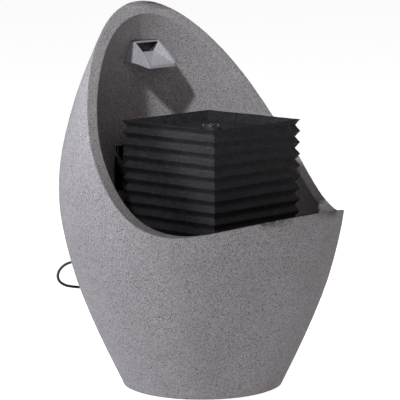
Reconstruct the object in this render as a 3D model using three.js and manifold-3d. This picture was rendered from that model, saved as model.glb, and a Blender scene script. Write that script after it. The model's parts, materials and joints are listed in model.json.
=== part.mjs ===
// Tabletop water fountain: an egg-shaped stone-look shell, cut open at the front, with a ribbed
// square column standing in its bowl, a dish with a bubbler and four lamps on the column, and a
// spout in the back wall. A pump under the column feeds the bubbler and the spout.
// Millimetres, +Z up, the open front faces -Y, the egg's axis is the Z axis.
import * as THREE from 'three';
import { mergeVertices } from 'three/addons/utils/BufferGeometryUtils.js';
import manifoldModule from 'manifold-3d';

const manifold = await manifoldModule();
manifold.setup();
const { Manifold, Mesh } = manifold;

// ---------------------------------------------------------------- driving dimensions
const GAP = 0.3;                    // clearance between pieces that touch in the real object
const SMALL = 0.4;                  // clearance of a piece in its own hole or pocket

// shell: outer surface as [radius, height], and the cut seen from the side as [y, z]
const HALF_WIDTH = 157;
const EGG = [[89.5, 5], [115.5, 60], [139, 120], [153.4, 178], [157, 218], [153, 262],
  [137.7, 320], [114.6, 378], [88, 432]].map(([r, z]) => [(r * HALF_WIDTH) / 157, z]);
const EGG_STEPS = 24;
const EGG_SIDES = 80;
const BASE_R = 84.5;
const CUT = [[-190, 214], [-165, 207], [-142, 201], [-122, 195], [-100, 189.5], [-75, 188],
  [-47, 197.5], [-22, 218], [4, 251], [29, 289], [62, 355], [95, 421], [113, 457]]
  .map(([y, z]) => [(y * HALF_WIDTH) / 157, z]);
const CUT_STEPS = 36;
const WALL = 14;
const FLOOR = 18;                   // height of the bowl's floor
const BOWL_ROUND = 8;
const PAD_R = 9;
const PAD_RING_R = 62;
const PAD_H = 2;
const PAD_COUNT = 4;

// ribbed column
const COLUMN_Y = -14.4;
const TIP = 68.6;                   // half the side, measured at a rib's edge
const RIB_DEPTH = 4;
const RIB_PITCH = 12.6;
const COLUMN_LOW = 98;              // the ribs start above this
const RIM_Z = 294.7;                // top edge of the column
const RIB_COUNT = Math.floor((RIM_Z - COLUMN_LOW) / RIB_PITCH + 0.5);
const RIM_LAND = 1.2;
const DISH_DEPTH = 10.5;
const DISH_SLOPE = 9;               // how far the dish's sides lean in
const DISH_PLATE = 4;
const COLUMN_SKIN = 3.5;
const SHELF = 4;
const FOOT = 41;                    // half the side of the square foot
const FOOT_WALL = 3;
const ARCH_W = 48;
const ARCH_H = 66;

// bubbler and lamps
const NOZZLE_R = 4.2;
const NOZZLE_BORE = 2;
const NOZZLE_TOP = 5.2;             // above the dish's floor
const COLLAR_R = 5.8;
const COLLAR_H = 1.2;
const NUT_R = 9;
const NUT_H = 4;
const TAIL = 16;                    // nozzle's length below the dish's plate
const LAMP_RING_R = 9.8;
const LAMP_RING_H = 3.4;
const LAMP_R = 1.5;
const LAMP_PLACE_R = 7.9;
const LAMP_COUNT = 4;
const LAMP_LEAD_R = 1.25;

// hoses and barbs
const HOSE_R = 4.2;
const HOSE_BORE = 2.9;
const BARB_R = 2.5;
const BARB_BORE = 1.6;

// spout and the duct behind it
const SPOUT_X = 12;
const SPOUT_ROOT = 19;              // half the width at the wall
const SPOUT_LIP = 21.3;             // half the width at the lip
const SPOUT_REACH = 25.5;           // from the wall to the lip
const LIP_Z = 350;
const LIP_T = 4.6;
const SPOUT_SET = 5.7125;           // how far the root stands out of the wall
const SPOUT_TOP = 374;
const SPOUT_BASE = 350;
const CHANNEL_Z = 362;              // channel's floor at the wall
const CHANNEL_ROOT = [10.7, 18.2];  // half widths at the wall, floor and top
const CHANNEL_LIP = [19.2, 20.6];   // half widths at the lip, floor and top
const SPOUT_SKIN = 1.8;
const COVER_T = 2.2;
const COVER_W = 46;
const COVER_Z = [194, 394];
const HOSE_INSET = HOSE_R + COVER_T + 0.7;      // hose's centre below the outer surface
const DUCT_DEPTH = HOSE_INSET + HOSE_R + 0.5;
const DUCT_W = 2 * HOSE_R + 3.6;
const DUCT_Z = [200, 356];
const WINDOW_Z = [200, 252];        // where the duct opens into the bowl
const SCREW_R = 1.4;
const SCREW_HEAD_R = 3;
const SCREW_L = 7;
const SCREW_PLACES = [[-17, 204], [17, 204], [-17, 385], [17, 385]];

// pump, standing on the bowl's floor inside the foot
const CUP_R = 5.5;
const CUP_H = 7.5;
const MOTOR = [29, 36, 34];
const VOLUTE_R = 17;
const VOLUTE_L = 14;
const CHAMBER_R = 12.5;
const CHAMBER_L = 10.5;
const MAGNET_R = 6;
const MAGNET_L = 25;
const SHAFT_R = 1.2;
const COVER_PLATE = 3;
const GRILLE_SLOTS = 5;
const BLADES = 6;
const SLIDER = [2, 14, 6];
const TEE_R = 5.6;
const OUTLET_R = 4;
const OUTLET_H = 9;
const TEE_H = 20;

// lead and plug
const CORD_R = 1.6;
const CORD_SIDES = 8;
const CORD_EXIT = [-26, 130];       // x and height where the lead leaves the shell
const GLAND_R = 4.2;
const GLAND_FLANGE = 6.6;
const GLAND_FLANGE_T = 2;
const GLAND_TAIL = 22;
const CORD = [[-35.2, 173.6, 119.4], [-39.4, 179.2, 116.2], [-43.2, 183, 111],
  [-44.9, 184.9, 104.6], [-43.2, 184.7, 98], [-37.2, 182.3, 92.6], [-27, 179.2, 89.4],
  [-14.5, 176.6, 86.8], [-3.5, 175.2, 81.6], [6.2, 174.7, 72], [14.4, 174.6, 58.5],
  [22, 175, 43], [29, 175.5, 28], [37, 176, 15], [46.5, 176, 6.6],
  [55, 175.7, 3], [60.5, 175.1, 2.6]];
const LEAD_INSIDE = [[-19, 4.2, 38], [-19, 18, 36], [-19, 36, 36], [-19.5, 54, 46], [-20, 69, 70],
  [-20, 80, 94], [-20, 85, 112], [-20, 86, 127.2], [-20, 87.9, 134.2], [-20, 93, 139.3],
  [-20, 100, 141.2], [-20.4, 107, 139.6]];
const COIL_CENTRE = [78, 152];
const COIL_R = 19;
const COIL_W = 16;
const COIL_H = 16.6;
const COIL_CHAMFER = 4.5;
const PLUG = [26, 18, 15];
const PLUG_AT = [112, 172];
const TAIL_CORD = [[95.5, 175.3, 5.7], [99, 174.6, 6.1], [103, 173.7, 6.8], [107.5, 172.7, 7.4],
  [111.7, 172, 7.8]];
const BLADE = [16, 1.6, 6];
const BLADE_GAP = 12.7;

// ---------------------------------------------------------------- materials
const paint = (color, roughness, metalness = 0) =>
  new THREE.MeshStandardMaterial({ color, roughness, metalness });
const STONE = paint('#8f8d8c', 0.85);
const STONE_LIGHT = paint('#a9a7a8', 0.8);
const SLATE = paint('#343239', 0.6);
const BLACK = paint('#1c1c1e', 0.5);
const RUBBER = paint('#191919', 0.8);
const GREY = paint('#55585c', 0.55);
const CLEAR = paint('#dfe9ee', 0.1);
const VINYL = paint('#1d1f20', 0.35);
const STEEL = paint('#b9bcc0', 0.3, 1);
const BRASS = paint('#c8a45a', 0.35, 1);
const WHITE = paint('#e6e4de', 0.5);

// ---------------------------------------------------------------- solids
// A closed three.js geometry as a solid: positions only, merged, facing out.
function solid(geometry) {
  const bare = new THREE.BufferGeometry();
  bare.setAttribute('position', geometry.getAttribute('position').clone());
  if (geometry.index) bare.setIndex(geometry.index.clone());
  const merged = mergeVertices(bare, 1e-4);
  const p = merged.getAttribute('position');
  const flat = merged.index.array;
  const keep = [];
  const [a, b, c] = [new THREE.Vector3(), new THREE.Vector3(), new THREE.Vector3()];
  let volume = 0;
  for (let i = 0; i < flat.length; i += 3) {
    const [u, v, w] = [flat[i], flat[i + 1], flat[i + 2]];
    if (u === v || v === w || w === u) continue;
    keep.push(u, v, w);
    a.fromBufferAttribute(p, u);
    b.fromBufferAttribute(p, v);
    c.fromBufferAttribute(p, w);
    volume += a.dot(b.cross(c));
  }
  if (volume < 0) keep.reverse();
  return new Manifold(new Mesh({
    numProp: 3,
    vertProperties: new Float32Array(p.array),
    triVerts: new Uint32Array(keep),
  }));
}

const group = new THREE.Group();
group.name = 'tabletop_fountain';

// Adds one named piece; its origin is put at the centre of its own box.
function add(name, shape, material) {
  const data = shape.getMesh();
  const geometry = new THREE.BufferGeometry();
  geometry.setAttribute('position', new THREE.BufferAttribute(
    new Float32Array(data.vertProperties), 3));
  geometry.setIndex(new THREE.BufferAttribute(new Uint32Array(data.triVerts), 1));
  geometry.computeBoundingBox();
  const centre = geometry.boundingBox.getCenter(new THREE.Vector3());
  geometry.translate(-centre.x, -centre.y, -centre.z);
  geometry.computeVertexNormals();
  const mesh = new THREE.Mesh(geometry, material);
  mesh.name = name;
  mesh.position.copy(centre);
  group.add(mesh);
}

const V2 = (pairs) => pairs.map(([x, y]) => new THREE.Vector2(x, y));
const V3 = (triples) => triples.map(([x, y, z]) => new THREE.Vector3(x, y, z));

// Closed profile of [radius, height] turned about a vertical axis at x, y.
function turned(profile, sides, x = 0, y = 0) {
  const geometry = new THREE.LatheGeometry(V2(profile), sides);
  return solid(geometry.rotateX(Math.PI / 2).translate(x, y, 0));
}

// Closed profile of [half side, height] as a square pillar, its faces along X and Y.
function squared(profile, x, y) {
  const corners = profile.map(([half, z]) => [half * Math.SQRT2, z]);
  const geometry = new THREE.LatheGeometry(V2(corners), 4);
  return solid(geometry.rotateX(Math.PI / 2).rotateZ(Math.PI / 4).translate(x, y, 0));
}

const ring = (inner, outer, z0, z1, sides, x = 0, y = 0) => turned(
  [[inner, z0], [outer, z0], [outer, z1], [inner, z1], [inner, z0]], sides, x, y);

const rod = (r, z0, z1, sides, x = 0, y = 0) =>
  turned([[0, z0], [r, z0], [r, z1], [0, z1]], sides, x, y);

const box = ([x0, x1], [y0, y1], [z0, z1]) => solid(
  new THREE.BoxGeometry(x1 - x0, y1 - y0, z1 - z0)
    .translate((x0 + x1) / 2, (y0 + y1) / 2, (z0 + z1) / 2));

// Outline of [y, z] pushed along X from x0 to x1.
function pushedX(outline, x0, x1) {
  const geometry = new THREE.ExtrudeGeometry(new THREE.Shape(V2(outline)),
    { depth: x1 - x0, bevelEnabled: false });
  const turn = new THREE.Matrix4().makeBasis(new THREE.Vector3(0, 1, 0),
    new THREE.Vector3(0, 0, 1), new THREE.Vector3(1, 0, 0));
  return solid(geometry.applyMatrix4(turn).translate(x0, 0, 0));
}

// Cylinder or ring of a given profile, turned about an axis along X at y, z.
function alongX(profile, sides, y, z) {
  const geometry = new THREE.LatheGeometry(V2(profile), sides);
  return solid(geometry.rotateZ(-Math.PI / 2).translate(0, y, z));
}

const rodX = (r, x0, x1, sides, y, z) => alongX([[0, x0], [r, x0], [r, x1], [0, x1]], sides, y, z);

// Round bar, or pipe when bore is given, along a smooth curve through the points.
function pipe(points, r, bore, sides, steps) {
  const circle = (radius) => {
    const path = new THREE.Path();
    path.setFromPoints(Array.from({ length: sides }, (_, i) => {
      const a = (2 * Math.PI * i) / sides;
      return new THREE.Vector2(radius * Math.cos(a), radius * Math.sin(a));
    }));
    return path;
  };
  const shape = new THREE.Shape(circle(r).getPoints());
  if (bore) shape.holes.push(circle(bore));
  const extrudePath = new THREE.CatmullRomCurve3(V3(points), false, 'centripetal');
  return solid(new THREE.ExtrudeGeometry(shape, { extrudePath, steps, bevelEnabled: false }));
}

// ---------------------------------------------------------------- the egg's surface
const OUTLINE = new THREE.SplineCurve(V2(EGG)).getPoints(EGG_STEPS).map((p) => [p.x, p.y]);

// Radius of the outer surface at a height.
function radiusAt(z) {
  const i = Math.max(1, OUTLINE.findIndex((p) => p[1] >= z));
  const [[r0, z0], [r1, z1]] = [OUTLINE[i - 1], OUTLINE[i]];
  return r0 + ((r1 - r0) * (z - z0)) / (z1 - z0);
}

const skinY = (x, z) => Math.sqrt(radiusAt(z) ** 2 - x ** 2);

const ROOT_Y = skinY(SPOUT_X, SPOUT_TOP) - WALL - SPOUT_SET;
const LIP_Y = ROOT_Y - SPOUT_REACH;

// Places a shape made about +Z on the back of the outer surface, its +Z facing out.
function onSkin(profile, sides, x, z) {
  const at = new THREE.Vector3(x, skinY(x, z), z);
  const rise = (radiusAt(z + 4) - radiusAt(z - 4)) / 8;
  const out = new THREE.Vector3(at.x, at.y, -rise * radiusAt(z)).normalize();
  const spin = new THREE.Quaternion().setFromUnitVectors(new THREE.Vector3(0, 0, 1), out);
  const geometry = new THREE.LatheGeometry(V2(profile), sides).rotateX(Math.PI / 2);
  return solid(geometry.applyQuaternion(spin).translate(at.x, at.y, at.z));
}

// The egg as a solid, its surface moved in by an inset.
function egg(inset, low, high) {
  const side = OUTLINE.filter(([, z]) => z > low + 1 && z < high - 1)
    .map(([r, z]) => [r - inset, z]);
  return turned([[0, low], [radiusAt(low) - inset, low], ...side,
    [radiusAt(high) - inset, high], [0, high]], EGG_SIDES);
}

const TOP = EGG[EGG.length - 1][1];

// ---------------------------------------------------------------- shell
function outerEgg() {
  const [r] = OUTLINE[0];
  return turned([[0, 0], [BASE_R, 0], [(BASE_R + r) / 2 + 1, 1.5], ...OUTLINE, [0, TOP]], EGG_SIDES);
}

function bowlSpace() {
  const low = FLOOR + BOWL_ROUND;
  const side = OUTLINE.filter(([, z]) => z > low + 3).map(([r, z]) => [r - WALL, z]);
  const last = side[side.length - 1][0];
  return turned([[0, FLOOR], [radiusAt(FLOOR) - WALL - BOWL_ROUND, FLOOR],
    [radiusAt(FLOOR + 2.4) - WALL - 2.4, FLOOR + 2.4], [radiusAt(low) - WALL, low], ...side,
    [last, TOP + 10], [0, TOP + 10]], EGG_SIDES);
}

function frontCut() {
  const curve = new THREE.SplineCurve(V2(CUT)).getPoints(CUT_STEPS).map((p) => [p.x, p.y]);
  const [front, back] = [CUT[0][0], CUT[CUT.length - 1][0]];
  return pushedX([...curve, [back, TOP + 60], [front, TOP + 60]],
    -HALF_WIDTH - 43, HALF_WIDTH + 43);
}

const band = (inset, depth, grow) => egg(inset, COVER_Z[0] - grow, COVER_Z[1] + grow)
  .subtract(egg(depth, COVER_Z[0] - grow - 1, COVER_Z[1] + grow + 1));

const coverBox = (grow) => box([SPOUT_X - COVER_W / 2 - grow, SPOUT_X + COVER_W / 2 + grow],
  [40, HALF_WIDTH + 43], [COVER_Z[0] - grow, COVER_Z[1] + grow]);

// Strip of the back wall between two depths below the surface, as wide as the duct.
function ductSpace() {
  const heights = OUTLINE.map((p) => p[1]).filter((z) => z > DUCT_Z[0] && z < DUCT_Z[1]);
  const line = [DUCT_Z[0], ...heights, DUCT_Z[1]];
  const inner = line.map((z) => [skinY(SPOUT_X, z) - DUCT_DEPTH, z]);
  const outer = line.map((z) => [skinY(SPOUT_X, z) + 4, z]).reverse();
  return pushedX([...inner, ...outer], SPOUT_X - DUCT_W / 2, SPOUT_X + DUCT_W / 2);
}

const screwHole = () => [[0, -SCREW_L - 1.5], [SCREW_R + SMALL, -SCREW_L - 1.5],
  [SCREW_R + SMALL, 4], [0, 4]];

function shell() {
  let body = outerEgg().subtract(bowlSpace()).subtract(frontCut());
  const recess = band(-2, COVER_T + GAP, SMALL).intersect(coverBox(SMALL));
  body = body.subtract(recess).subtract(ductSpace());
  body = body.subtract(box([SPOUT_X - DUCT_W / 2, SPOUT_X + DUCT_W / 2],
    [skinY(SPOUT_X, WINDOW_Z[0]) - WALL - 20, skinY(SPOUT_X, WINDOW_Z[0]) + 20], WINDOW_Z));
  body = body.subtract(box([SPOUT_X - SPOUT_ROOT - SMALL, SPOUT_X + SPOUT_ROOT + SMALL],
    [ROOT_Y - 16, ROOT_Y + 50], [SPOUT_BASE - SMALL, SPOUT_TOP + SMALL]));
  for (const [dx, z] of SCREW_PLACES) {
    body = body.subtract(onSkin(screwHole(), 12, SPOUT_X + dx, z));
  }
  const [x, z] = CORD_EXIT;
  body = body.subtract(onSkin([[0, -WALL - 8], [GLAND_R + SMALL, -WALL - 8],
    [GLAND_R + SMALL, 6], [0, 6]], 16, x, z));
  body = body.subtract(onSkin([[0, -1], [GLAND_FLANGE + SMALL, -1], [GLAND_FLANGE + SMALL, 6],
    [0, 6]], 20, x, z));
  for (let i = 0; i < PAD_COUNT; i += 1) {
    const a = Math.PI * (0.25 + (2 * i) / PAD_COUNT);
    body = body.subtract(rod(PAD_R + SMALL, -5, PAD_H + GAP, 24,
      PAD_RING_R * Math.cos(a), PAD_RING_R * Math.sin(a)));
  }
  return body;
}

function pads() {
  for (let i = 0; i < PAD_COUNT; i += 1) {
    const a = Math.PI * (0.25 + (2 * i) / PAD_COUNT);
    add(`floor_pad_${i + 1}`, rod(PAD_R, 0, PAD_H, 24, PAD_RING_R * Math.cos(a),
      PAD_RING_R * Math.sin(a)), RUBBER);
  }
}

// ---------------------------------------------------------------- spout, cover and screws
const hoseY = (z) => skinY(SPOUT_X, z) - HOSE_INSET;

// Side outline of the spout: lip at the front, sloping back under the cover.
function spoutSide() {
  const top = new THREE.QuadraticBezierCurve(new THREE.Vector2(ROOT_Y, SPOUT_TOP),
    new THREE.Vector2(LIP_Y + 8, SPOUT_TOP - 13), new THREE.Vector2(LIP_Y, LIP_Z))
    .getPoints(8).map((p) => [p.x, p.y]);
  const back = COVER_T + 2 * GAP;
  return [[LIP_Y, LIP_Z - LIP_T], [ROOT_Y, SPOUT_BASE],
    [skinY(SPOUT_X + SPOUT_ROOT, SPOUT_BASE) - back, SPOUT_BASE],
    [skinY(SPOUT_X + SPOUT_ROOT, SPOUT_TOP) - back, SPOUT_TOP], ...top];
}

// Box whose half width grows along -Y from the root to the lip.
function flared(geometry, root, lip) {
  const p = geometry.getAttribute('position');
  for (let i = 0; i < p.count; i += 1) {
    const t = THREE.MathUtils.clamp((ROOT_Y - p.getY(i)) / (ROOT_Y - LIP_Y), 0, 1.2);
    p.setX(i, SPOUT_X + p.getX(i) * (root + (lip - root) * t));
  }
  return geometry;
}

function spoutBlock() {
  const geometry = new THREE.ExtrudeGeometry(new THREE.Shape(V2(spoutSide())),
    { depth: 2, bevelEnabled: false });
  const turn = new THREE.Matrix4().makeBasis(new THREE.Vector3(0, 1, 0),
    new THREE.Vector3(0, 0, 1), new THREE.Vector3(1, 0, 0));
  return solid(flared(geometry.applyMatrix4(turn).translate(-1, 0, 0), SPOUT_ROOT, SPOUT_LIP));
}

// Open channel from the wall to the lip: a box with its corners moved.
function channelSpace() {
  const geometry = new THREE.BoxGeometry(2, 2, 2);
  const p = geometry.getAttribute('position');
  const reach = 4;
  const fall = ((CHANNEL_Z - LIP_Z + 0.8) * (ROOT_Y - LIP_Y + reach)) / (ROOT_Y - LIP_Y);
  for (let i = 0; i < p.count; i += 1) {
    const atRoot = p.getY(i) > 0;
    const high = p.getZ(i) > 0;
    const [low, top] = atRoot ? CHANNEL_ROOT : CHANNEL_LIP;
    p.setX(i, SPOUT_X + Math.sign(p.getX(i)) * (high ? top : low));
    p.setY(i, atRoot ? ROOT_Y : LIP_Y - reach);
    p.setZ(i, (atRoot ? CHANNEL_Z : CHANNEL_Z - fall)
      + (high ? SPOUT_TOP - CHANNEL_Z + (atRoot ? 0.01 : 1) : 0));
  }
  return solid(geometry);
}

// Closed duct behind the channel, inside the wall.
function chamberSpace() {
  const [low, top] = CHANNEL_ROOT;
  const back = skinY(SPOUT_X + SPOUT_ROOT, SPOUT_TOP) - COVER_T - 2 * GAP - SPOUT_SKIN;
  const shape = new THREE.Shape(V2([[-low, CHANNEL_Z], [low, CHANNEL_Z],
    [top, SPOUT_TOP - SPOUT_SKIN], [-top, SPOUT_TOP - SPOUT_SKIN]]));
  const geometry = new THREE.ExtrudeGeometry(shape, { depth: back - ROOT_Y + 1,
    bevelEnabled: false });
  return solid(geometry.rotateX(Math.PI / 2).translate(SPOUT_X, back, 0));
}

// Straight line down the duct that the spout's barb and the hose's end share.
const BARB_Z = [SPOUT_BASE + 2, SPOUT_BASE - 14];
const barbLine = () => BARB_Z.map((z) => [SPOUT_X, hoseY(z), z]);

function spout() {
  const [high, low] = barbLine();
  const lift = high.map((v, i) => v + (v - low[i]) * 0.9);
  return spoutBlock().subtract(channelSpace()).subtract(chamberSpace())
    .add(pipe([high, low], BARB_R, 0, 12, 1))
    .subtract(pipe([lift, low.map((v, i) => v + (v - high[i]) * 0.2)], BARB_BORE, 0, 10, 1));
}

function coverScrew(dx, z) {
  return onSkin([[0, -SCREW_L], [SCREW_R, -SCREW_L], [SCREW_R, GAP], [SCREW_HEAD_R, GAP],
    [SCREW_HEAD_R * 0.8, 1.6], [0, 2]], 12, SPOUT_X + dx, z);
}

function backCover() {
  let strip = band(0, COVER_T, 0).intersect(coverBox(0));
  for (const [dx, z] of SCREW_PLACES) {
    strip = strip.subtract(onSkin(screwHole(), 12, SPOUT_X + dx, z));
  }
  return strip;
}

// ---------------------------------------------------------------- ribbed column
const VALLEY = TIP - RIB_DEPTH;
const DISH_FLOOR = RIM_Z - DISH_DEPTH;
const COLUMN_BASE = RIM_Z - (RIB_COUNT - 0.5) * RIB_PITCH;

function ribs() {
  const side = [];
  for (let i = RIB_COUNT - 1; i > 0; i -= 1) {
    const z = RIM_Z - i * RIB_PITCH;
    side.push([TIP, z], [VALLEY, z + RIB_PITCH / 2]);
  }
  return [[0, COLUMN_BASE], [VALLEY, COLUMN_BASE], ...side, [TIP, RIM_Z]];
}

function column() {
  const outside = [...ribs(), [TIP - RIM_LAND, RIM_Z],
    [TIP - RIM_LAND - DISH_SLOPE, DISH_FLOOR], [0, DISH_FLOOR]];
  const inside = VALLEY - COLUMN_SKIN;
  let body = squared(outside, 0, COLUMN_Y);
  body = body.add(squared([[0, FLOOR + GAP], [FOOT, FLOOR + GAP], [FOOT, COLUMN_BASE + 1],
    [0, COLUMN_BASE + 1]], 0, COLUMN_Y));
  body = body.subtract(squared([[0, COLUMN_BASE + SHELF], [inside, COLUMN_BASE + SHELF],
    [inside, DISH_FLOOR - DISH_PLATE], [0, DISH_FLOOR - DISH_PLATE]], 0, COLUMN_Y));
  body = body.subtract(squared([[0, FLOOR - 5], [FOOT - FOOT_WALL, FLOOR - 5],
    [FOOT - FOOT_WALL, COLUMN_BASE + SHELF + 1], [0, COLUMN_BASE + SHELF + 1]], 0, COLUMN_Y));
  const arch = [FLOOR - 5, FLOOR + ARCH_H];
  body = body.subtract(box([-ARCH_W / 2, ARCH_W / 2],
    [COLUMN_Y - FOOT - 5, COLUMN_Y + FOOT + 5], arch));
  body = body.subtract(box([-FOOT - 5, FOOT + 5],
    [COLUMN_Y - ARCH_W / 2, COLUMN_Y + ARCH_W / 2], arch));
  body = body.subtract(rod(NOZZLE_R + SMALL, DISH_FLOOR - 20, DISH_FLOOR + 5, 24, 0, COLUMN_Y));
  return body.subtract(rod(LAMP_LEAD_R + SMALL, DISH_FLOOR - 20, DISH_FLOOR + 5, 12,
    LAMP_PLACE_R, COLUMN_Y));
}

// ---------------------------------------------------------------- bubbler and lamps
const TAIL_END = DISH_FLOOR - DISH_PLATE - TAIL;
const BARB_L = 12;

function nozzle() {
  const top = DISH_FLOOR + NOZZLE_TOP;
  return turned([[NOZZLE_BORE, TAIL_END - BARB_L], [BARB_R, TAIL_END - BARB_L],
    [BARB_R, TAIL_END], [NOZZLE_R, TAIL_END], [NOZZLE_R, top - COLLAR_H],
    [COLLAR_R, top - COLLAR_H], [COLLAR_R - 0.6, top], [NOZZLE_BORE, top],
    [NOZZLE_BORE, TAIL_END - BARB_L]], 24, 0, COLUMN_Y);
}

function nozzleNut() {
  const top = DISH_FLOOR - DISH_PLATE - GAP;
  return rod(NUT_R, top - NUT_H, top, 6, 0, COLUMN_Y)
    .subtract(rod(NOZZLE_R + SMALL, top - NUT_H - 1, top + 1, 24, 0, COLUMN_Y))
    .subtract(rod(LAMP_LEAD_R + SMALL, top - NUT_H - 1, top + 1, 12, LAMP_PLACE_R, COLUMN_Y));
}

function lampRing() {
  const low = DISH_FLOOR + GAP;
  return turned([[NOZZLE_R + SMALL, low], [LAMP_RING_R, low], [LAMP_RING_R, low + LAMP_RING_H - 0.8],
    [LAMP_RING_R - 0.8, low + LAMP_RING_H], [NOZZLE_R + SMALL, low + LAMP_RING_H],
    [NOZZLE_R + SMALL, low]], 32, 0, COLUMN_Y);
}

function lamps() {
  const low = DISH_FLOOR + 2 * GAP + LAMP_RING_H;
  for (let i = 0; i < LAMP_COUNT; i += 1) {
    const a = Math.PI * (0.25 + (2 * i) / LAMP_COUNT);
    const dome = [[0, low], [LAMP_R, low]];
    for (let k = 0; k <= 4; k += 1) {
      const b = (Math.PI / 8) * k;
      dome.push([k === 4 ? 0 : LAMP_R * Math.cos(b), low + 0.8 + LAMP_R * Math.sin(b)]);
    }
    add(`lamp_${i + 1}`, turned(dome, 12, LAMP_PLACE_R * Math.cos(a),
      COLUMN_Y + LAMP_PLACE_R * Math.sin(a)), CLEAR);
  }
}

// ---------------------------------------------------------------- pump and tee
const PUMP_Z = FLOOR + GAP + CUP_H + GAP;
const AXIS_Z = PUMP_Z + MOTOR[2] / 2;
const HALF_L = VOLUTE_L / 2;
const MOTOR_X = -HALF_L - MOTOR[0];
const OUTLET_Z = AXIS_Z + VOLUTE_R + OUTLET_H;
const PLUG_Z = PUMP_Z + MOTOR[2] + 6;
const LAMP_PLUG_X = -HALF_L - 13;

function pumpBody() {
  const half = MOTOR[1] / 2;
  let body = box([MOTOR_X, -HALF_L + 1], [COLUMN_Y - half, COLUMN_Y + half],
    [PUMP_Z, PUMP_Z + MOTOR[2]]);
  body = body.add(rodX(VOLUTE_R, -HALF_L, HALF_L, 32, COLUMN_Y, AXIS_Z));
  body = body.add(rod(OUTLET_R, AXIS_Z + VOLUTE_R - 3, OUTLET_Z, 16, 0, COLUMN_Y));
  body = body.add(rod(4.5, PUMP_Z + MOTOR[2] - 1, PLUG_Z, 16, LAMP_PLUG_X, COLUMN_Y));
  body = body.subtract(rodX(CHAMBER_R, HALF_L - CHAMBER_L, HALF_L + 1, 24, COLUMN_Y, AXIS_Z));
  body = body.subtract(rodX(MAGNET_R + SMALL, MOTOR_X + 2, HALF_L, 20, COLUMN_Y, AXIS_Z));
  return body.subtract(rod(2.4, AXIS_Z + 3, OUTLET_Z + 1, 12, 0, COLUMN_Y));
}

function cups() {
  const half = MOTOR[1] / 2 - CUP_R - 1;
  const low = FLOOR + GAP;
  const places = [MOTOR_X + CUP_R + 1, HALF_L - CUP_R - 1].flatMap((x) => [[x, -half], [x, half]]);
  places.forEach(([x, dy], i) => {
    add(`suction_cup_${i + 1}`, turned([[0, low + 1.6], [CUP_R, low], [CUP_R - 0.6, low + 1.4],
      [2, low + 3.6], [2, low + CUP_H], [0, low + CUP_H]], 16, x, COLUMN_Y + dy), RUBBER);
  });
}

function impeller() {
  const x0 = HALF_L - CHAMBER_L + 0.8;
  const x1 = HALF_L - 1.2;
  let wheel = rodX(3.6, x0, x1, 16, COLUMN_Y, AXIS_Z)
    .add(rodX(CHAMBER_R - 1.2, x0, x0 + 1.4, 24, COLUMN_Y, AXIS_Z));
  for (let i = 0; i < BLADES; i += 1) {
    const blade = new THREE.BoxGeometry(x1 - x0 - 0.4, 1.2, CHAMBER_R - 4)
      .translate((x0 + x1) / 2, 0, (CHAMBER_R + 1) / 2)
      .rotateX((2 * Math.PI * i) / BLADES).translate(0, COLUMN_Y, AXIS_Z);
    wheel = wheel.add(solid(blade));
  }
  return wheel.subtract(rodX(SHAFT_R + GAP, x0 - 1, x1 + 1, 12, COLUMN_Y, AXIS_Z));
}

function magnet() {
  const x1 = HALF_L - CHAMBER_L + 0.8 - GAP;
  return rodX(MAGNET_R, x1 - MAGNET_L, x1, 20, COLUMN_Y, AXIS_Z)
    .subtract(rodX(SHAFT_R + GAP, x1 - MAGNET_L - 1, x1 + 1, 12, COLUMN_Y, AXIS_Z));
}

const COVER_X = HALF_L + GAP;

function pumpCover() {
  const half = VOLUTE_R;
  const x1 = COVER_X + COVER_PLATE;
  let plate = box([COVER_X, x1], [COLUMN_Y - half, COLUMN_Y + half],
    [AXIS_Z - half + 1, AXIS_Z + half - 1]);
  for (let i = 0; i < GRILLE_SLOTS; i += 1) {
    const y = COLUMN_Y + (i - (GRILLE_SLOTS - 1) / 2) * 5.2;
    plate = plate.subtract(box([COVER_X - 1, x1 + 1], [y - 1.2, y + 1.2],
      [AXIS_Z - half + 4, AXIS_Z - 4]));
  }
  plate = plate.subtract(box([COVER_X - 1, x1 + 1], [COLUMN_Y - 4, COLUMN_Y + 4],
    [AXIS_Z + 5, AXIS_Z + 12]));
  for (const side of [-1, 1]) {
    const y = COLUMN_Y + side * (SLIDER[1] / 2 + 1.5 + GAP);
    plate = plate.add(box([x1 - 0.5, x1 + 2.6], [y - 1.2, y + 1.2], [AXIS_Z - 2, AXIS_Z + 14]));
  }
  return plate.subtract(rodX(SHAFT_R + GAP, COVER_X - 1, COVER_X + 1.4, 12, COLUMN_Y, AXIS_Z));
}

function flowSlider() {
  const x0 = COVER_X + COVER_PLATE + GAP;
  return box([x0, x0 + SLIDER[0]], [COLUMN_Y - SLIDER[1] / 2, COLUMN_Y + SLIDER[1] / 2],
    [AXIS_Z - 1, AXIS_Z - 1 + SLIDER[2]])
    .add(box([x0 + 1, x0 + SLIDER[0] + 2], [COLUMN_Y - 3, COLUMN_Y + 3],
      [AXIS_Z + 1, AXIS_Z + 3]));
}

const TEE_Z = AXIS_Z + VOLUTE_R + GAP + 1;
const BRANCH_Z = TEE_Z + 13;

function tee() {
  const top = TEE_Z + TEE_H;
  const branch = pipe([[0, COLUMN_Y + 2, BRANCH_Z], [0, COLUMN_Y + TEE_R + 12, BRANCH_Z]],
    BARB_R, 0, 12, 1);
  const branchBore = pipe([[0, COLUMN_Y, BRANCH_Z], [0, COLUMN_Y + TEE_R + 14, BRANCH_Z]],
    BARB_BORE, 0, 10, 1);
  return rod(TEE_R, TEE_Z, top, 20, 0, COLUMN_Y)
    .add(rod(BARB_R, top - 1, top + BARB_L, 12, 0, COLUMN_Y))
    .add(branch)
    .subtract(rod(OUTLET_R + SMALL, TEE_Z - 1, OUTLET_Z + GAP, 16, 0, COLUMN_Y))
    .subtract(rod(BARB_BORE, OUTLET_Z - 1, top + BARB_L + 1, 10, 0, COLUMN_Y))
    .subtract(branchBore);
}

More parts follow.
